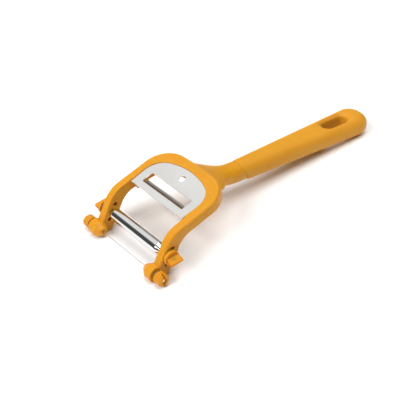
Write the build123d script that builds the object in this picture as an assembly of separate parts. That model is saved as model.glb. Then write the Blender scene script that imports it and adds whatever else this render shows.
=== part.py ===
from build123d import *
import math
import os

# Cheese slicer with a plane plate, a guide roller and a cutting wire.
# It is modelled with the plate's upper face at z = 0, its front edge at y = 0
# and +y towards the handle, and is then laid on its tips and its grip.

overrun = 40.0  # how far cutting bodies run past what they cut

# Head: the gap between the arms and the thickness of each arm
arm_gap_half = 31.3
arm_thick = 6.8

# Plane plate, with its sides close to the arms' inner faces
plate_inset = 0.2
plate_taper = 0.7
plate_side = 14.0
plate_corner_radius = 16.5
plate_crown_angle = 20.0
plate_thick = 0.8
plate_play = 0.1
slot_end_margin = 6.9
slot_front = 5.4
slot_length = 9.8
slot_corner_radius = 0.8
lip_reach = 4.4
lip_drop = 2.0
lip_flat_share = 0.42
lip_grind_share = 0.6
lip_end_play = 0.5
plate_hole_radius = 2.8
plate_hole_place = 24.9

# Frame ring round the plate
ring_side = 19.5
ring_corner_radius = 21.0
ring_crown_angle = 4.0
rim_rise = 0.5
ring_depth = 9.1
ledge_width = 2.2
ledge_setback = 2.0
edge_bevel = 1.1
inner_bevel = 0.5

# Arms
arm_corner = 15.6
arm_angle = 45.0
arm_depth = 12.0
arm_end_past_tip = 2.0
arm_bend_radius = 21.0
arm_under_radius = 16.0
arm_heel_radius = 6.0

# Guide roller, its axle and its knobs, placed along the arm from its corner
roller_place = 15.4
roller_setback = 5.75
roller_radius = 5.0
roller_wall = 0.7
roller_end_gap = 0.7
roller_cone = 4.6
roller_nose_radius = 2.5
axle_radius = 1.6
running_play = 0.06
axle_hole_play = 0.15
spare_hole_pitch = 6.1
washer_radius = 4.4
washer_thick = 0.9
seat_gap = 0.1
knob_disc_radius = 5.9
knob_disc_thick = 2.4
knob_wing_height = 6.2
knob_wing_thick = 5.0
knob_wing_top_thick = 2.2
knob_wing_tip_half = 4.9
knob_wing_angle = 80.0
knob_bevel = 0.6
knob_socket = 5.5

# Tip bosses, cutting wire and tension knobs
tip_reach = 30.0
boss_radius = 6.0
boss_nose_radius = 3.2
boss_nose_length = 4.6
bush_radius = 2.9
bush_length = 7.0
screw_radius = 1.9
wire_radius = 0.3
wire_play = 0.15
boss_bore_radius = 0.9
tension_gap = 2.6
tension_travel = 0.7
tension_radius = 4.8
tension_length = 6.9
tension_bevel = 1.2
tension_slot_width = 1.5
tension_slot_depth = 3.0
tension_slot_angle = -18.0
tension_ribs = 14
tension_rib_depth = 0.35
bead_radius = 1.3
bead_length = 2.0
bead_play = 0.2

# Gooseneck and handle, in the side view from the plate's front edge
collar_y = 72.4
collar_z = -30.6
collar_half_width = 8.6
collar_half_thick = 8.1
collar_lean = 25.0
grip_length = 127.0
grip_angle = -18.4
grip_start_half_width = 8.3
grip_end_half_width = 14.2
grip_corner_radius = 12.5
grip_half_thick = 8.1
grip_round = 7.4
grip_front_bevel = 0.5
tang_half_width = 5.6
tang_half_thick = 3.6
tang_reach_share = 0.56
tang_root_share = 0.03
grip_root_share = 0.05
eye_place_share = 0.765
eye_length = 25.0
eye_width = 10.0
eye_dish_spread = 3.6
eye_dish_depth = 4.4
eye_dish_steps = 2

# Gooseneck sections from the ring to the collar: place along y and z, half width,
# half thickness as shares of the collar's, and the tilt of the section as a share of the arm's
neck_shares = [
    (0.456, 0.140, 2.90, 0.48, 0.00),
    (0.530, 0.250, 2.88, 0.50, 0.15),
    (0.600, 0.400, 2.52, 0.58, 0.45),
    (0.680, 0.570, 1.74, 0.71, 0.90),
    (0.760, 0.730, 1.23, 0.85, 0.95),
    (0.860, 0.865, 1.03, 0.94, 0.70),
    (1.000, 1.000, 0.945, 0.945, 0.46),
    (1.140, 1.120, 0.940, 0.940, 0.42),
]

rest_angle_halvings = 18

ring_half = arm_gap_half + arm_thick
arm_end = tip_reach + arm_end_past_tip
plate_half = arm_gap_half - plate_inset
plate_front_half = plate_half - plate_taper
slot_half = plate_front_half - slot_end_margin
roller_half = arm_gap_half - roller_end_gap
arm_along = Vector(0, -math.cos(math.radians(arm_angle)), -math.sin(math.radians(arm_angle)))
arm_across = Vector(0, math.sin(math.radians(arm_angle)), -math.cos(math.radians(arm_angle)))
arm_start = Vector(0, -arm_corner, rim_rise)
roller_axis = arm_start + arm_along * roller_place + arm_across * roller_setback
tip_axis = arm_start + arm_along * tip_reach


def rounded_outline(half, front_half, front_y, side_y, corner_radius, crown_angle):
    # A bell-shaped outline: side, tangent corner arc and flatter crown arc, mirrored
    turn = math.radians(90 - crown_angle)
    centre_x = half - corner_radius
    half_way = Vector(
        centre_x + corner_radius * math.cos(turn / 2),
        side_y + corner_radius * math.sin(turn / 2),
    )
    corner_end = Vector(
        centre_x + corner_radius * math.cos(turn),
        side_y + corner_radius * math.sin(turn),
    )
    crown_radius = corner_end.X / math.sin(math.radians(crown_angle))
    apex = Vector(0, corner_end.Y + crown_radius * (1 - math.cos(math.radians(crown_angle))))
    mirrored = Vector(-corner_end.X, corner_end.Y)
    right_side = Line((front_half, front_y), (half, side_y))
    right_corner = ThreePointArc((half, side_y), half_way, corner_end)
    crown = ThreePointArc(corner_end, apex, mirrored)
    left_corner = ThreePointArc(mirrored, (-half_way.X, half_way.Y), (-half, side_y))
    left_side = Line((-half, side_y), (-front_half, front_y))
    front = Line((-front_half, front_y), (front_half, front_y))
    return make_face(right_side + right_corner + crown + left_corner + left_side + front)


def plate_outline(grow):
    return rounded_outline(
        plate_half + grow,
        plate_front_half + grow,
        0,
        plate_side,
        plate_corner_radius + grow,
        plate_crown_angle,
    )


def cylinder_x(radius, low, high, centre):
    # A cylinder along x between two places
    rod = Cylinder(radius, high - low, rotation=(0, 90, 0))
    return Pos((low + high) / 2, centre.Y, centre.Z) * rod


def mirrored(shape):
    return mirror(shape, about=Plane.YZ)


def arm_point(along, across):
    return arm_start + arm_along * along + arm_across * across


def side_profile():
    # Side view of the ring and the arm as one bent band, with the boss at its tip
    rear_y = ring_side + ring_corner_radius + ring_depth
    under_shift = (arm_depth - ring_depth * math.cos(math.radians(arm_angle)))
    under_shift = under_shift / math.sin(math.radians(arm_angle))
    top_corner = (-arm_corner, rim_rise)
    under_corner = (under_shift - arm_corner, rim_rise - ring_depth)
    front_end = arm_point(arm_end, 0)
    heel = arm_point(arm_end, arm_depth)
    band = make_face(
        Polyline(
            (rear_y, rim_rise),
            top_corner,
            (front_end.Y, front_end.Z),
            (heel.Y, heel.Z),
            under_corner,
            (rear_y, rim_rise - ring_depth),
            close=True,
        )
    )
    corners = band.vertices()
    band = fillet(corners.sort_by_distance(top_corner)[0], arm_bend_radius)
    corners = band.vertices()
    band = fillet(corners.sort_by_distance(under_corner)[0], arm_under_radius)
    corners = band.vertices()
    band = fillet(corners.sort_by_distance((heel.Y, heel.Z))[0], arm_heel_radius)
    boss = Pos(tip_axis.Y, tip_axis.Z) * Circle(boss_radius)
    return band + boss


def on_side_plane(sketch):
    # Sketch x becomes y and sketch y becomes z
    return Plane.YZ * sketch


def ring_outline():
    return rounded_outline(
        ring_half, ring_half, -ledge_setback, ring_side, ring_corner_radius, ring_crown_angle
    )


def follows(edge, outline, side):
    # True for an edge that runs along the ring's outline or along one side face of an arm
    for share in (0, 0.5, 1):
        point = edge @ share
        on_side = abs(abs(point.X) - side) < seat_gap and point.Y < ring_side + seat_gap
        near = outline is not None and outline.distance_to((point.X, point.Y, 0)) < seat_gap
        if not (on_side or near):
            return False
    return edge.length > ring_depth + seat_gap


def frame_plan():
    ring = ring_outline()
    arms = Pos(0, -overrun) * Rectangle(2 * ring_half, 2 * overrun)
    plan = ring + arms
    arm_gap = Pos(0, ledge_setback - overrun) * Rectangle(2 * arm_gap_half, 2 * overrun)
    window = plate_outline(-ledge_width)
    return plan - arm_gap - window


def section_face(centre, tilt, half_width, half_thick):
    # An oval section that stands across the handle
    plane = Plane(
        origin=centre,
        x_dir=(1, 0, 0),
        z_dir=(0, math.cos(math.radians(tilt)), math.sin(math.radians(tilt))),
    )
    return plane * Ellipse(half_width, half_thick)


def neck():
    sections = []
    for y_share, z_share, width_share, thick_share, tilt_share in neck_shares:
        centre = (0, collar_y * y_share, collar_z * z_share)
        tilt = -arm_angle * tilt_share
        half_width = collar_half_width * width_share
        half_thick = collar_half_thick * thick_share
        sections.append(section_face(centre, tilt, half_width, half_thick))
    return loft(sections)


def grip_plane(share):
    # On the grip's axis, with x across, y along the grip and z up
    along = Vector(0, math.cos(math.radians(grip_angle)), math.sin(math.radians(grip_angle)))
    centre = Vector(0, collar_y, collar_z) + along * (grip_length * share)
    return Plane(origin=centre, x_dir=(1, 0, 0), z_dir=(0, -along.Z, along.Y))


def grip_body():
    # A bar that widens towards its round end, with the edges rounded nearly to an oval
    root = -grip_length * grip_root_share
    plan = make_face(
        Polyline(
            (-grip_start_half_width, root),
            (grip_start_half_width, root),
            (grip_end_half_width, grip_length),
            (-grip_end_half_width, grip_length),
            close=True,
        )
    )
    plan = fillet(plan.vertices().sort_by(Axis.Y)[-2:], grip_corner_radius)
    body = extrude(plan, grip_half_thick, both=True)
    upright = body.edges().filter_by(Axis.Z)
    front = body.faces().sort_by(Axis.Y)[0].edges()
    rims = [edge for edge in body.edges() if edge not in upright and edge not in front]
    return grip_plane(0) * fillet(rims, grip_round)


def collar_cutter():
    # Everything on the head's side of the leaning parting line
    block = Pos(0, -overrun, 0) * Box(2 * overrun, 2 * overrun, 2 * overrun)
    return grip_plane(0) * Rot(collar_lean, 0, 0) * block


def tang():
    # A straight bar from inside the neck far into the grip
    length = grip_length * (tang_root_share + tang_reach_share)
    bar = Box(2 * tang_half_width, length, 2 * tang_half_thick)
    return grip_plane(-tang_root_share) * Pos(0, length / 2, 0) * bar


def eye_cutter():
    # A long eye through the grip with a funnel-shaped dish on the upper and lower side
    plane = grip_plane(eye_place_share)
    hole = SlotOverall(eye_length, eye_width, rotation=90)
    rim = grip_half_thick - eye_dish_depth
    cutter = extrude(hole, overrun / 2, both=True)
    for side in (1, -1):
        faces = []
        for step in range(eye_dish_steps + 1):
            rise = step / eye_dish_steps
            spread = eye_dish_spread * (1 - math.sqrt(1 - rise * rise))
            level = side * (rim + eye_dish_depth * rise)
            outline = SlotOverall(eye_length + 2 * spread, eye_width + 2 * spread, rotation=90)
            faces.append(Pos(0, 0, level) * outline)
        cutter += loft(faces, ruled=True)
        cutter += extrude(faces[-1], side * grip_half_thick)
    return plane * cutter


def fork_frame():
    band = extrude(on_side_plane(side_profile()), ring_half, both=True)
    plan = Pos(0, 0, -overrun) * extrude(frame_plan(), 2 * overrun)
    body = band & plan
    outline = ring_outline().wire()
    outer_edges = [edge for edge in body.edges() if follows(edge, outline, ring_half)]
    body = chamfer(outer_edges, edge_bevel)
    inner_edges = [edge for edge in body.edges() if follows(edge, None, arm_gap_half)]
    body = chamfer(inner_edges, inner_bevel)
    body += neck() & collar_cutter()
    pocket = plate_outline(plate_play)
    seat_low = plate_thick + seat_gap / 2
    body -= Pos(0, 0, -seat_low) * extrude(pocket, overrun)
    for side in (1, -1):
        boss = cylinder_x(boss_radius, arm_gap_half, ring_half, tip_axis)
        nose = Cone(boss_nose_radius, boss_radius, boss_nose_length, rotation=(0, 90, 0))
        boss += Pos(arm_gap_half - boss_nose_length / 2, tip_axis.Y, tip_axis.Z) * nose
        bore = cylinder_x(boss_bore_radius, 0, ring_half, tip_axis)
        bush_hole = cylinder_x(bush_radius, ring_half - bush_length, 2 * ring_half, tip_axis)
        hole_radius = axle_radius + axle_hole_play
        holes = cylinder_x(hole_radius, arm_gap_half / 2, 2 * ring_half, roller_axis)
        for step in (-1, 1):
            spare = roller_axis + arm_along * (step * spare_hole_pitch)
            holes += cylinder_x(hole_radius, arm_gap_half / 2, 2 * ring_half, spare)
        if side == 1:
            body += boss
            body -= bore + bush_hole + holes
        else:
            body += mirrored(boss)
            body -= mirrored(bore + bush_hole + holes)
    body += tang()
    return body


def soft_grip():
    grip = grip_body() - collar_cutter()
    front = grip.faces().filter_by(GeomType.PLANE).sort_by(Axis.Y)[0]
    grip = chamfer(front.edges(), grip_front_bevel)
    grip -= eye_cutter()
    grip -= tang()
    return grip


def plane_plate():
    outline = plate_outline(0)
    slot = Pos(0, slot_front + slot_length / 2) * Rectangle(2 * slot_half, slot_length)
    slot = fillet(slot.vertices(), slot_corner_radius)
    hole = Pos(0, plate_hole_place) * Circle(plate_hole_radius)
    plate = extrude(outline - slot - hole, -plate_thick)
    # The cutting lip bends down from the slot's front edge and ends in a ground edge
    flat_start = lip_reach * (1 - lip_flat_share)
    bevel = plate_thick * 2
    edge_low = lip_drop + plate_thick * lip_grind_share
    lip = make_face(
        Polyline(
            (slot_front - plate_thick, 0),
            (slot_front, 0),
            (slot_front + flat_start, -lip_drop),
            (slot_front + lip_reach, -edge_low),
            (slot_front + lip_reach - bevel, -lip_drop - plate_thick),
            (slot_front + flat_start - plate_thick / 2, -lip_drop - plate_thick),
            (slot_front - plate_thick, -plate_thick),
            close=True,
        )
    )
    lip = extrude(on_side_plane(lip), slot_half - lip_end_play, both=True)
    return plate + lip


def guide_roller():
    # A tube whose ends close in cones round the axle
    bore = axle_radius + running_play
    shoulder = roller_half - roller_cone
    cavity = roller_radius - roller_wall
    outline = make_face(
        Polyline(
            (bore, -roller_half),
            (roller_nose_radius, -roller_half),
            (roller_radius, -shoulder),
            (roller_radius, shoulder),
            (roller_nose_radius, roller_half),
            (bore, roller_half),
            (bore, shoulder),
            (cavity, shoulder),
            (cavity, -shoulder),
            (bore, -shoulder),
            close=True,
        )
    )
    tube = revolve(Plane.XZ * outline, Axis.Z)
    return Pos(0, roller_axis.Y, roller_axis.Z) * Rot(0, 90, 0) * tube


def axle_end():
    return ring_half + washer_thick + 2 * seat_gap + knob_socket


def guide_axle():
    return cylinder_x(axle_radius, -axle_end(), axle_end(), roller_axis)


def knob_washer():
    low = ring_half + seat_gap
    ring = cylinder_x(washer_radius, low, low + washer_thick, roller_axis)
    return ring - cylinder_x(axle_radius + running_play, 0, 2 * ring_half, roller_axis)


def guide_knob():
    # A low disc with a tapered wing across it for the fingers
    disc = extrude(Circle(knob_disc_radius), knob_disc_thick)
    top = Rectangle(2 * knob_wing_tip_half, knob_wing_top_thick)
    foot_half = math.sqrt((knob_disc_radius - knob_bevel) ** 2 - (knob_wing_thick / 2) ** 2)
    foot = Rectangle(2 * foot_half, knob_wing_thick)
    wing = loft([foot, Pos(0, 0, knob_disc_thick + knob_wing_height) * top], ruled=True)
    wing = chamfer(wing.faces().sort_by(Axis.Z)[-1].edges(), knob_bevel)
    knob = disc + wing
    knob -= extrude(Circle(axle_radius + running_play), knob_socket + seat_gap)
    base = ring_half + washer_thick + 2 * seat_gap
    knob = Rot(0, 90, 0) * Rot(0, 0, knob_wing_angle) * knob
    return Pos(base, roller_axis.Y, roller_axis.Z) * knob


def thread_bush():
    low = ring_half - bush_length
    bush = cylinder_x(bush_radius, low, ring_half, tip_axis)
    return bush - cylinder_x(screw_radius + running_play, 0, 2 * ring_half, tip_axis)


def tension_base():
    return ring_half + tension_gap


def bead_seat():
    return tension_base() + tension_length - tension_slot_depth


def tension_screw():
    inner_end = ring_half - bush_length + tension_travel + seat_gap
    screw = cylinder_x(screw_radius, inner_end, bead_seat(), tip_axis)
    return screw - cylinder_x(wire_radius + wire_play, 0, 2 * ring_half, tip_axis)


def tension_knob():
    # A grooved round knob with a slot across its outer end, where the wire is threaded in
    knob = extrude(Circle(tension_radius), tension_length)
    knob = chamfer(knob.edges().filter_by(GeomType.CIRCLE).sort_by(Axis.Z)[-1], tension_bevel)
    groove_side = tension_rib_depth * 2 * math.sqrt(2)
    groove = Rot(0, 0, 45) * Box(groove_side, groove_side, 4 * tension_length)
    for place in PolarLocations(tension_radius + tension_rib_depth, tension_ribs):
        knob -= place * groove
    slot = Box(4 * tension_radius, tension_slot_width, 2 * tension_slot_depth)
    knob -= Pos(0, 0, tension_length) * Rot(0, 0, tension_slot_angle) * slot
    pocket = Cylinder(bead_radius + bead_play, 2 * tension_slot_depth)
    knob -= Pos(0, 0, tension_length) * pocket
    knob -= Cylinder(screw_radius, 4 * tension_length)
    knob = Rot(0, 90, 0) * knob
    return Pos(tension_base(), tip_axis.Y, tip_axis.Z) * knob


def wire_bead():
    # The bead slides on the wire's end by the screw's travel, so its bore is that much deeper
    low = bead_seat() + seat_gap
    bead = cylinder_x(bead_radius, low, low + bead_length, tip_axis)
    bore = cylinder_x(wire_radius + running_play, 0, wire_end() + tension_travel, tip_axis)
    return bead - bore


def wire_end():
    return bead_seat() + bead_length / 2


def cutting_wire():
    return cylinder_x(wire_radius, -wire_end(), wire_end(), tip_axis)


def lowest(shape, angle):
    turned = Rot(angle, 0, 0) * shape
    return turned.bounding_box(optimal=True).min.Z


def rest_angle(grip):
    # The turn at which the arms' tips and the grip's end touch one flat floor
    tips = extrude(on_side_plane(side_profile()), boss_radius)
    low = 0.0
    high = arm_angle
    for _ in range(rest_angle_halvings):
        middle = (low + high) / 2
        if lowest(tips, middle) > lowest(grip, middle):
            low = middle
        else:
            high = middle
    return (low + high) / 2


def build():
    nodes = {
        "fork_frame": fork_frame(),
        "soft_grip": soft_grip(),
        "plane_plate": plane_plate(),
        "guide_roller": guide_roller(),
        "guide_axle": guide_axle(),
        "cutting_wire": cutting_wire(),
    }
    paired = {
        "guide_knob": guide_knob(),
        "knob_washer": knob_washer(),
        "tension_knob": tension_knob(),
        "tension_screw": tension_screw(),
        "thread_bush": thread_bush(),
        "wire_bead": wire_bead(),
    }
    for name, shape in paired.items():
        nodes[name + "_right"] = shape
        nodes[name + "_left"] = mirrored(shape)
    return nodes


def place(nodes):
    # Lay the slicer on the floor, with the origin under the middle of its box
    angle = rest_angle(nodes["soft_grip"])
    turned = {name: Rot(angle, 0, 0) * shape for name, shape in nodes.items()}
    boxes = [shape.bounding_box(optimal=True) for shape in turned.values()]
    front = min(box.min.Y for box in boxes)
    rear = max(box.max.Y for box in boxes)
    floor = min(box.min.Z for box in boxes)
    shift = Pos(0, -(front + rear) / 2, -floor)
    for label, point in (("roller axis", roller_axis), ("tip axis", tip_axis)):
        spot = (shift * Rot(angle, 0, 0) * Pos(point)).position
        print(label, round(spot.X, 4), round(spot.Y, 4), round(spot.Z, 4))
    print("rest angle", round(angle, 4), "length", round(rear - front, 3))
    return {name: shift * shape for name, shape in turned.items()}


os.makedirs("parts", exist_ok=True)
for node_name, node_shape in place(build()).items():
    export_step(node_shape, "parts/" + node_name + ".step")
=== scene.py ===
import math

import bmesh
import bpy
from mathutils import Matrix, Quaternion, Vector


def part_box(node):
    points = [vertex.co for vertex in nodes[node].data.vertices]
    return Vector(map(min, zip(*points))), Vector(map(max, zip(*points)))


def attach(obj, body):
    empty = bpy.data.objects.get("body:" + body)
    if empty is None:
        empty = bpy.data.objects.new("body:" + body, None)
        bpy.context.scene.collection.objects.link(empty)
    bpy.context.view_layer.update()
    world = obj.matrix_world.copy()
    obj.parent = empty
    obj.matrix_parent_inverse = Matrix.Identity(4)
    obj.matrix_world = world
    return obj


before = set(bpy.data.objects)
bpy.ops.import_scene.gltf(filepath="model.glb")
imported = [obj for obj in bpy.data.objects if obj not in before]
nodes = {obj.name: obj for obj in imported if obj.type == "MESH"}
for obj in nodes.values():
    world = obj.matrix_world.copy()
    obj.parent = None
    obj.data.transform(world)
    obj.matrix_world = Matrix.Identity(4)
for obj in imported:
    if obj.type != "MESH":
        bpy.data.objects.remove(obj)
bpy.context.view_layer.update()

# Cheese slicer: looks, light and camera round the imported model
scene = bpy.context.scene
mm = 0.001
print("frame loaded:", len(nodes), "nodes")


# Small helpers for building node trees

def addNode(tree, kind, **settings):
    node = tree.nodes.new(kind)
    for name, value in settings.items():
        setattr(node, name, value)
    return node


def feed(tree, socket, source):
    if isinstance(source, bpy.types.NodeSocket):
        tree.links.new(source, socket)
    else:
        socket.default_value = source


def mathNode(tree, operation, first, second=0.0, clamp=False):
    node = addNode(tree, "ShaderNodeMath", operation=operation, use_clamp=clamp)
    feed(tree, node.inputs[0], first)
    feed(tree, node.inputs[1], second)
    return node.outputs[0]


def mapRange(tree, value, fromLow, fromHigh, toLow=0.0, toHigh=1.0):
    node = addNode(tree, "ShaderNodeMapRange")
    for socket, source in zip(node.inputs, (value, fromLow, fromHigh, toLow, toHigh)):
        feed(tree, socket, source)
    return node.outputs[0]


def noiseNode(tree, vector, scale, detail=3.0, roughness=0.55):
    node = addNode(tree, "ShaderNodeTexNoise")
    feed(tree, node.inputs["Vector"], vector)
    feed(tree, node.inputs["Scale"], scale)
    feed(tree, node.inputs["Detail"], detail)
    feed(tree, node.inputs["Roughness"], roughness)
    return node.outputs["Fac"]


def stretchedPlace(tree, stretch):
    place = addNode(tree, "ShaderNodeTexCoord").outputs["Object"]
    node = addNode(tree, "ShaderNodeVectorMath", operation="MULTIPLY")
    feed(tree, node.inputs[0], place)
    feed(tree, node.inputs[1], stretch)
    return node.outputs[0]


def newGroup(name, inputs, outputs):
    tree = bpy.data.node_groups.new(name, "ShaderNodeTree")
    for label, value in inputs.items():
        kind = "NodeSocketVector" if isinstance(value, tuple) else "NodeSocketFloat"
        socket = tree.interface.new_socket(label, in_out="INPUT", socket_type=kind)
        socket.default_value = value
    for label in outputs:
        tree.interface.new_socket(label, in_out="OUTPUT", socket_type="NodeSocketFloat")
    return tree, tree.nodes.new("NodeGroupInput").outputs, tree.nodes.new("NodeGroupOutput").inputs


def useGroup(tree, group, **values):
    node = addNode(tree, "ShaderNodeGroup", node_tree=group)
    for label, value in values.items():
        feed(tree, node.inputs[label], value)
    return node.outputs


# Effects that several finishes share

def buildEdgeWear():  # rubbed corners: where a rounded normal leaves the true one, broken up by noise
    tree, given, put = newGroup("edgeWear", {"Radius": 0.0006, "Amount": 1.0, "Breakup": 700.0}, ["Mask"])
    bevel = addNode(tree, "ShaderNodeBevel", samples=6)
    feed(tree, bevel.inputs["Radius"], given["Radius"])
    trueNormal = addNode(tree, "ShaderNodeNewGeometry").outputs["Normal"]
    compare = addNode(tree, "ShaderNodeVectorMath", operation="DOT_PRODUCT")
    feed(tree, compare.inputs[0], bevel.outputs["Normal"])
    feed(tree, compare.inputs[1], trueNormal)
    corner = mapRange(tree, compare.outputs["Value"], 0.985, 0.80)
    breakup = noiseNode(tree, stretchedPlace(tree, (1, 1, 1)), given["Breakup"], 4.0, 0.6)
    broken = mathNode(tree, "MULTIPLY", corner, mapRange(tree, breakup, 0.35, 0.65))
    feed(tree, put["Mask"], mathNode(tree, "MULTIPLY", broken, given["Amount"], True))
    return tree


def buildMouldGrain():  # the fine pitted skin of a moulded part and the slow drift of its colour
    tree, given, put = newGroup("mouldGrain", {"Grain": 5200.0, "Drift": 45.0}, ["Height", "Drift", "Pits"])
    place = stretchedPlace(tree, (1, 1, 1))
    cells = addNode(tree, "ShaderNodeTexVoronoi", feature="SMOOTH_F1")
    feed(tree, cells.inputs["Vector"], place)
    feed(tree, cells.inputs["Scale"], given["Grain"])
    fine = noiseNode(tree, place, mathNode(tree, "MULTIPLY", given["Grain"], 0.45), 3.0, 0.6)
    feed(tree, put["Height"], mathNode(tree, "ADD", cells.outputs["Distance"], fine))
    feed(tree, put["Drift"], noiseNode(tree, place, given["Drift"], 2.0, 0.5))
    feed(tree, put["Pits"], mapRange(tree, noiseNode(tree, place, 900.0, 2.0), 0.68, 0.78))
    return tree


def buildHandling():  # finger smears and faint dust that change how glossy a surface is
    tree, given, put = newGroup("handling", {"Size": 60.0, "Seed": 0.0}, ["Smear", "Dust"])
    place = addNode(tree, "ShaderNodeVectorMath", operation="ADD")
    feed(tree, place.inputs[0], stretchedPlace(tree, (1, 1, 1)))
    feed(tree, place.inputs[1], given["Seed"])
    warp = addNode(tree, "ShaderNodeTexNoise")
    feed(tree, warp.inputs["Vector"], place.outputs[0])
    feed(tree, warp.inputs["Scale"], given["Size"])
    feed(tree, warp.inputs["Distortion"], 1.4)
    feed(tree, put["Smear"], mapRange(tree, warp.outputs["Fac"], 0.38, 0.68))
    feed(tree, put["Dust"], mapRange(tree, noiseNode(tree, place.outputs[0], 2600.0, 1.0), 0.72, 0.8))
    return tree


def buildBrushGrain():  # long fine scratches along one direction
    tree, given, put = newGroup(
        "brushGrain", {"Stretch": (60.0, 2400.0, 2400.0), "Scratch": 0.5}, ["Height", "Tone"]
    )
    place = stretchedPlace(tree, given["Stretch"])
    fine = noiseNode(tree, place, 1.0, 4.0, 0.7)
    broad = noiseNode(tree, stretchedPlace(tree, (25, 160, 160)), 1.0, 2.0, 0.5)
    deep = mapRange(tree, fine, 0.62, 0.72)
    scratched = mathNode(tree, "MULTIPLY", deep, given["Scratch"])
    feed(tree, put["Height"], mathNode(tree, "SUBTRACT", fine, scratched))
    fineTone = mathNode(tree, "MULTIPLY", fine, 0.6)
    broadTone = mathNode(tree, "MULTIPLY", broad, 0.4)
    feed(tree, put["Tone"], mathNode(tree, "ADD", fineTone, broadTone))
    return tree


def buildPaintedSeamShade():  # painted shade: base colour darkened by ambient occlusion wherever two surfaces meet closely
    tree, given, put = newGroup("paintedSeamShade", {"Reach": 0.0009, "Amount": 1.0}, ["Mask"])
    closed = addNode(tree, "ShaderNodeAmbientOcclusion", samples=8)
    feed(tree, closed.inputs["Distance"], given["Reach"])
    shade = mapRange(tree, closed.outputs["AO"], 0.80, 0.30)
    feed(tree, put["Mask"], mathNode(tree, "MULTIPLY", shade, given["Amount"], True))
    return tree


edgeWear = buildEdgeWear()
paintedSeamShade = buildPaintedSeamShade()
mouldGrain = buildMouldGrain()
handling = buildHandling()
brushGrain = buildBrushGrain()
print("effects built")


# Finishes

def newMaterial(name):
    material = bpy.data.materials.new(name)
    material.use_nodes = True
    tree = material.node_tree
    return material, tree, tree.nodes["Principled BSDF"]


def mixColour(tree, amount, first, second):
    node = addNode(tree, "ShaderNodeMix", data_type="RGBA")
    feed(tree, node.inputs["Factor"], amount)
    feed(tree, node.inputs[6], first)
    feed(tree, node.inputs[7], second)
    return node.outputs[2]


def bumpNode(tree, height, strength, distance, cornerRadius):
    corner = addNode(tree, "ShaderNodeBevel", samples=8)
    corner.inputs["Radius"].default_value = cornerRadius
    node = addNode(tree, "ShaderNodeBump")
    feed(tree, node.inputs["Height"], height)
    feed(tree, node.inputs["Normal"], corner.outputs["Normal"])
    node.inputs["Strength"].default_value = strength
    node.inputs["Distance"].default_value = distance
    return node.outputs["Normal"]


def plasticMaterial(name, look):
    material, tree, skin = newMaterial(name)
    grain = useGroup(tree, mouldGrain, Grain=look["grain"], Drift=look["drift"])
    hands = useGroup(tree, handling, Size=look["smearSize"], Seed=look["seed"])
    wear = useGroup(tree, edgeWear, Radius=look["wearRadius"], Amount=look["wear"], Breakup=look["breakup"])
    colour = mixColour(tree, grain["Drift"], look["colour"], look["deepColour"])
    colour = mixColour(tree, mathNode(tree, "MULTIPLY", grain["Pits"], 0.25), colour, look["deepColour"])
    colour = mixColour(tree, mathNode(tree, "MULTIPLY", hands["Dust"], 0.10), colour, look["paleColour"])
    colour = mixColour(tree, wear["Mask"], colour, look["paleColour"])
    # painted shade in crevices and between parts, mixed into the base colour toward a deep orange-brown
    paintedShade = useGroup(tree, paintedSeamShade, Reach=look["paintedShadeReach"], Amount=look["paintedShade"])
    colour = mixColour(tree, paintedShade["Mask"], colour, look["paintedShadeColour"])
    feed(tree, skin.inputs["Base Color"], colour)
    rough = mathNode(tree, "ADD", look["rough"], mathNode(tree, "MULTIPLY", hands["Smear"], look["smear"]))
    rough = mathNode(tree, "ADD", rough, mathNode(tree, "MULTIPLY", wear["Mask"], 0.12))
    feed(tree, skin.inputs["Roughness"], rough)
    normal = bumpNode(tree, grain["Height"], look["bump"], look["bumpDepth"], look["corner"])
    feed(tree, skin.inputs["Normal"], normal)
    skin.inputs["Subsurface Weight"].default_value = look["glow"]
    skin.inputs["Subsurface Radius"].default_value = (1.0, 0.30, 0.06)
    skin.inputs["Subsurface Scale"].default_value = look["glowReach"]
    skin.inputs["IOR"].default_value = look["ior"]
    skin.inputs["Specular IOR Level"].default_value = look["gloss"]
    skin.inputs["Sheen Weight"].default_value = look["sheen"]
    skin.inputs["Sheen Roughness"].default_value = 0.5
    return material


def paintedLipReflection(tree, look):  # a painted dark reflection on the slot's lip, strongest beside its bend
    surface = addNode(tree, "ShaderNodeNewGeometry")
    facing = addNode(tree, "ShaderNodeVectorMath", operation="DOT_PRODUCT")
    feed(tree, facing.inputs[0], surface.outputs["True Normal"])
    feed(tree, facing.inputs[1], look["lipWay"])
    behind = addNode(tree, "ShaderNodeSeparateXYZ")
    feed(tree, behind.inputs[0], addNode(tree, "ShaderNodeTexCoord").outputs["Object"])
    fading = mapRange(tree, behind.outputs["Y"], look["lipStart"], look["lipEnd"], 0.92, 0.45)
    return mathNode(tree, "MULTIPLY", mapRange(tree, facing.outputs["Value"], 0.94, 0.98), fading)


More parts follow.
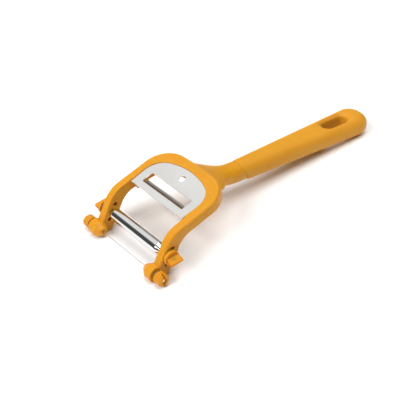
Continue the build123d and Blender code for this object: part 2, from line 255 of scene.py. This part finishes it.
def steelMaterial(name, look):
    material, tree, skin = newMaterial(name)
    grain = useGroup(tree, brushGrain, Stretch=look["stretch"], Scratch=look["scratch"])
    hands = useGroup(tree, handling, Size=look["smearSize"], Seed=look["seed"])
    wear = useGroup(tree, edgeWear, Radius=look["wearRadius"], Amount=look["wear"], Breakup=look["breakup"])
    colour = mixColour(tree, grain["Tone"], look["colour"], look["deepColour"])
    colour = mixColour(tree, wear["Mask"], colour, look["paleColour"])
    if "lipWay" in look:
        # painted dark reflection: the lip's faces are mixed toward near-black steel colour
        colour = mixColour(tree, paintedLipReflection(tree, look), colour, look["lipPaintedReflectionColour"])
    feed(tree, skin.inputs["Base Color"], colour)
    skin.inputs["Metallic"].default_value = 1.0
    rough = mathNode(tree, "ADD", look["rough"], mathNode(tree, "MULTIPLY", grain["Tone"], look["roughGrain"]))
    rough = mathNode(tree, "ADD", rough, mathNode(tree, "MULTIPLY", hands["Smear"], look["smear"]))
    feed(tree, skin.inputs["Roughness"], rough)
    skin.inputs["Anisotropic"].default_value = look["anisotropic"]
    normal = bumpNode(tree, grain["Height"], look["bump"], look["bumpDepth"], look["corner"])
    feed(tree, skin.inputs["Normal"], normal)
    return material


framePlastic = {
    "colour": (0.62, 0.285, 0.009, 1), "deepColour": (0.58, 0.245, 0.006, 1),
    "paleColour": (0.80, 0.42, 0.06, 1),
    # the darkest colour, strength and reach of the painted shade between close surfaces
    "paintedShadeColour": (0.30, 0.06, 0.004, 1), "paintedShade": 0.7, "paintedShadeReach": 0.0009, "corner": 0.9 * mm, "gloss": 0.28,
    "grain": 5200.0, "drift": 40.0, "bump": 0.10, "bumpDepth": 0.00006, "rough": 0.34, "smear": 0.10,
    "smearSize": 55.0, "seed": 2.0, "wear": 0.25, "wearRadius": 0.0005, "breakup": 650.0,
    "glow": 0.7, "glowReach": 3.0 * mm, "ior": 1.48, "sheen": 0.0,
}
gripPlastic = dict(
    framePlastic, colour=(0.62, 0.288, 0.011, 1), deepColour=(0.58, 0.255, 0.008, 1), grain=3600.0,
    bump=0.16, rough=0.50, smear=0.12, smearSize=38.0, seed=7.0, wear=1.0, wearRadius=0.0008,
    sheen=0.05, corner=1.2 * mm, paleColour=(0.84, 0.50, 0.13, 1),
)
knobPlastic = dict(
    framePlastic, colour=(0.60, 0.250, 0.008, 1), seed=11.0, wear=0.4, wearRadius=0.0003, corner=0.5 * mm,
)
plateSteel = {
    "colour": (0.80, 0.795, 0.77, 1), "deepColour": (0.70, 0.695, 0.675, 1),
    "paleColour": (0.92, 0.92, 0.90, 1),
    "stretch": (45.0, 2600.0, 2600.0), "scratch": 0.5, "rough": 0.24, "roughGrain": 0.14, "smear": 0.06,
    "smearSize": 70.0, "seed": 3.0, "wear": 0.5, "wearRadius": 0.0002, "breakup": 900.0, "anisotropic": 0.35,
    "bump": 0.10, "bumpDepth": 0.00003, "corner": 0.15 * mm,
}
plateFinish = dict(
    plateSteel, lipWay=(0.0, 0.204, 0.979), lipStart=-0.0780, lipEnd=-0.0736,
    # near-black colour of the painted dark reflection on the lip
    lipPaintedReflectionColour=(0.045, 0.045, 0.048, 1),
)
rollerSteel = dict(
    plateSteel, colour=(0.74, 0.74, 0.735, 1), deepColour=(0.66, 0.66, 0.66, 1), stretch=(2600.0, 120.0, 120.0),
    rough=0.05, roughGrain=0.05, smear=0.04, seed=5.0, anisotropic=0.1, bump=0.04,
)
screwSteel = dict(
    plateSteel, colour=(0.62, 0.62, 0.62, 1), deepColour=(0.48, 0.48, 0.48, 1),
    stretch=(3000.0, 200.0, 200.0), rough=0.25, seed=8.0,
)
wireSteel = dict(
    plateSteel, colour=(0.68, 0.68, 0.68, 1), deepColour=(0.55, 0.55, 0.55, 1), rough=0.22, seed=9.0,
)
bushBrass = dict(
    plateSteel, colour=(0.76, 0.55, 0.24, 1), deepColour=(0.62, 0.42, 0.16, 1),
    paleColour=(0.88, 0.72, 0.42, 1), stretch=(3000.0, 200.0, 200.0), seed=4.0,
)

finishes = {
    "hardPlastic": plasticMaterial("hardPlastic", framePlastic),
    "softTouch": plasticMaterial("softTouch", gripPlastic),
    "knobPlastic": plasticMaterial("knobPlastic", knobPlastic),
    "plateSteel": steelMaterial("plateSteel", plateFinish),
    "rollerSteel": steelMaterial("rollerSteel", rollerSteel),
    "screwSteel": steelMaterial("screwSteel", screwSteel),
    "wireSteel": steelMaterial("wireSteel", wireSteel),
    "bushBrass": steelMaterial("bushBrass", bushBrass),
}
nodeFinish = {
    "fork_frame": "hardPlastic", "soft_grip": "softTouch", "plane_plate": "plateSteel",
    "guide_roller": "rollerSteel", "guide_axle": "screwSteel", "cutting_wire": "wireSteel",
}
for side in ("left", "right"):
    nodeFinish["guide_knob_" + side] = "knobPlastic"
    nodeFinish["tension_knob_" + side] = "knobPlastic"
    nodeFinish["knob_washer_" + side] = "screwSteel"
    nodeFinish["tension_screw_" + side] = "screwSteel"
    nodeFinish["wire_bead_" + side] = "bushBrass"
    nodeFinish["thread_bush_" + side] = "bushBrass"
for name, finish in nodeFinish.items():
    nodes[name].data.materials.clear()
    nodes[name].data.materials.append(finishes[finish])
print("materials set on", len(nodeFinish), "nodes")


# Screw threads, seen in the gap under each tension knob

threadCut = {"pitch": 0.7 * mm, "crest": 2.12 * mm, "root": 1.86 * mm, "start": 38.95 * mm, "end": 40.6 * mm,
             "stepsPerTurn": 28, "flankShare": 0.42, "fadeShare": 0.12}


def buildThread(side):
    sign = 1 if side == "right" else -1
    low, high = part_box("tension_screw_" + side)
    axisY, axisZ = (low.y + high.y) / 2, (low.z + high.z) / 2
    mesh = bmesh.new()
    turns = (threadCut["end"] - threadCut["start"]) / threadCut["pitch"]
    steps = int(turns * threadCut["stepsPerTurn"])
    width = threadCut["pitch"] * threadCut["flankShare"]
    rings = []
    for step in range(steps + 1):
        share = step / steps
        angle = 2 * math.pi * turns * share
        fade = min(1.0, share / threadCut["fadeShare"], (1 - share) / threadCut["fadeShare"])
        crest = threadCut["root"] + (threadCut["crest"] - threadCut["root"]) * fade
        x = threadCut["start"] + (threadCut["end"] - threadCut["start"]) * share
        ring = []
        for radius, shift in ((threadCut["root"], -width), (crest, 0.0), (threadCut["root"], width)):
            y = axisY + radius * math.cos(angle)
            z = axisZ + radius * math.sin(angle)
            ring.append(mesh.verts.new((sign * (x + shift), y, z)))
        rings.append(ring)
    for before, after in zip(rings, rings[1:]):
        for column in range(3):
            beside = (column + 1) % 3
            mesh.faces.new((before[column], before[beside], after[beside], after[column]))
    mesh.faces.new(rings[0])
    mesh.faces.new(reversed(rings[-1]))
    bmesh.ops.recalc_face_normals(mesh, faces=mesh.faces)
    data = bpy.data.meshes.new("screw_thread_" + side)
    mesh.to_mesh(data)
    mesh.free()
    piece = bpy.data.objects.new("screw_thread_" + side, data)
    scene.collection.objects.link(piece)
    data.materials.append(finishes["screwSteel"])
    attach(piece, "tension_" + side)


for side in ("left", "right"):
    buildThread(side)
print("threads cut")


# Floor, light and camera

studio = {
    "floorSize": 6.0, "floorColour": (0.92, 0.92, 0.92, 1), "worldColour": (1.0, 1.0, 1.0, 1),
    "patchWay": (-0.50, 0.15, 0.85), "patchEdge": 0.80, "patchCore": 0.92, "dimSky": 0.08, "patchSky": 1.0,
}
lamps = {  # name: (place, how wide the light looks in degrees, strength), all aimed at the slicer
    "frontSheet": ((-0.10, -0.85, 0.80), 42.0, 2.45),
    "topSheet": ((0.30, 0.20, 1.20), 48.0, 2.1),
}
view = {
    "place": (0.5516, -0.4298, 0.5300), "aim": (0.0052, -0.0423, 0.0067), "roll": -5.41,
    "lens": 99.5, "sensor": 36.0,
}


def aimed(obj, aim, roll=0.0):
    away = Vector(aim) - obj.location
    turn = away.to_track_quat("-Z", "Y") @ Quaternion((0, 0, 1), math.radians(roll))
    obj.rotation_mode = "QUATERNION"
    obj.rotation_quaternion = turn


def buildFloor():
    half = studio["floorSize"] / 2
    data = bpy.data.meshes.new("floor")
    corners = [(-half, -half, 0), (half, -half, 0), (half, half, 0), (-half, half, 0)]
    data.from_pydata(corners, [], [(0, 1, 2, 3)])
    floor = bpy.data.objects.new("floor", data)
    scene.collection.objects.link(floor)
    material, tree, skin = newMaterial("paleFloor")
    skin.inputs["Base Color"].default_value = studio["floorColour"]
    skin.inputs["Roughness"].default_value = 0.75
    skin.inputs["Specular IOR Level"].default_value = 0.2
    data.materials.append(material)


def buildLamps():
    for name, (place, spread, strength) in lamps.items():
        light = bpy.data.lights.new(name, "SUN")
        light.angle = math.radians(spread)
        light.energy = strength
        lamp = bpy.data.objects.new(name, light)
        lamp.location = place
        scene.collection.objects.link(lamp)
        aimed(lamp, (0, 0, 0))
    world = bpy.data.worlds.new("studioWorld")
    world.use_nodes = True
    tree = world.node_tree
    back = tree.nodes["Background"]
    back.inputs["Color"].default_value = studio["worldColour"]
    near = addNode(tree, "ShaderNodeVectorMath", operation="DOT_PRODUCT")  # a bright patch in a dim room
    feed(tree, near.inputs[0], addNode(tree, "ShaderNodeTexCoord").outputs["Generated"])
    feed(tree, near.inputs[1], Vector(studio["patchWay"]).normalized())
    edge, core = studio["patchEdge"], studio["patchCore"]
    sky = mapRange(tree, near.outputs["Value"], edge, core, studio["dimSky"], studio["patchSky"])
    seen = addNode(tree, "ShaderNodeLightPath").outputs["Is Camera Ray"]  # the far wall itself stays white
    feed(tree, back.inputs["Strength"], mathNode(tree, "MAXIMUM", sky, seen))
    scene.world = world


def buildCamera():
    lens = bpy.data.cameras.new("camera")
    lens.lens = view["lens"]
    lens.sensor_width = view["sensor"]
    camera = bpy.data.objects.new("camera", lens)
    camera.location = view["place"]
    scene.collection.objects.link(camera)
    aimed(camera, view["aim"], view["roll"])
    bpy.context.scene.camera = camera


buildFloor()
buildLamps()
buildCamera()
scene.view_settings.view_transform = "Standard"
print("studio ready")
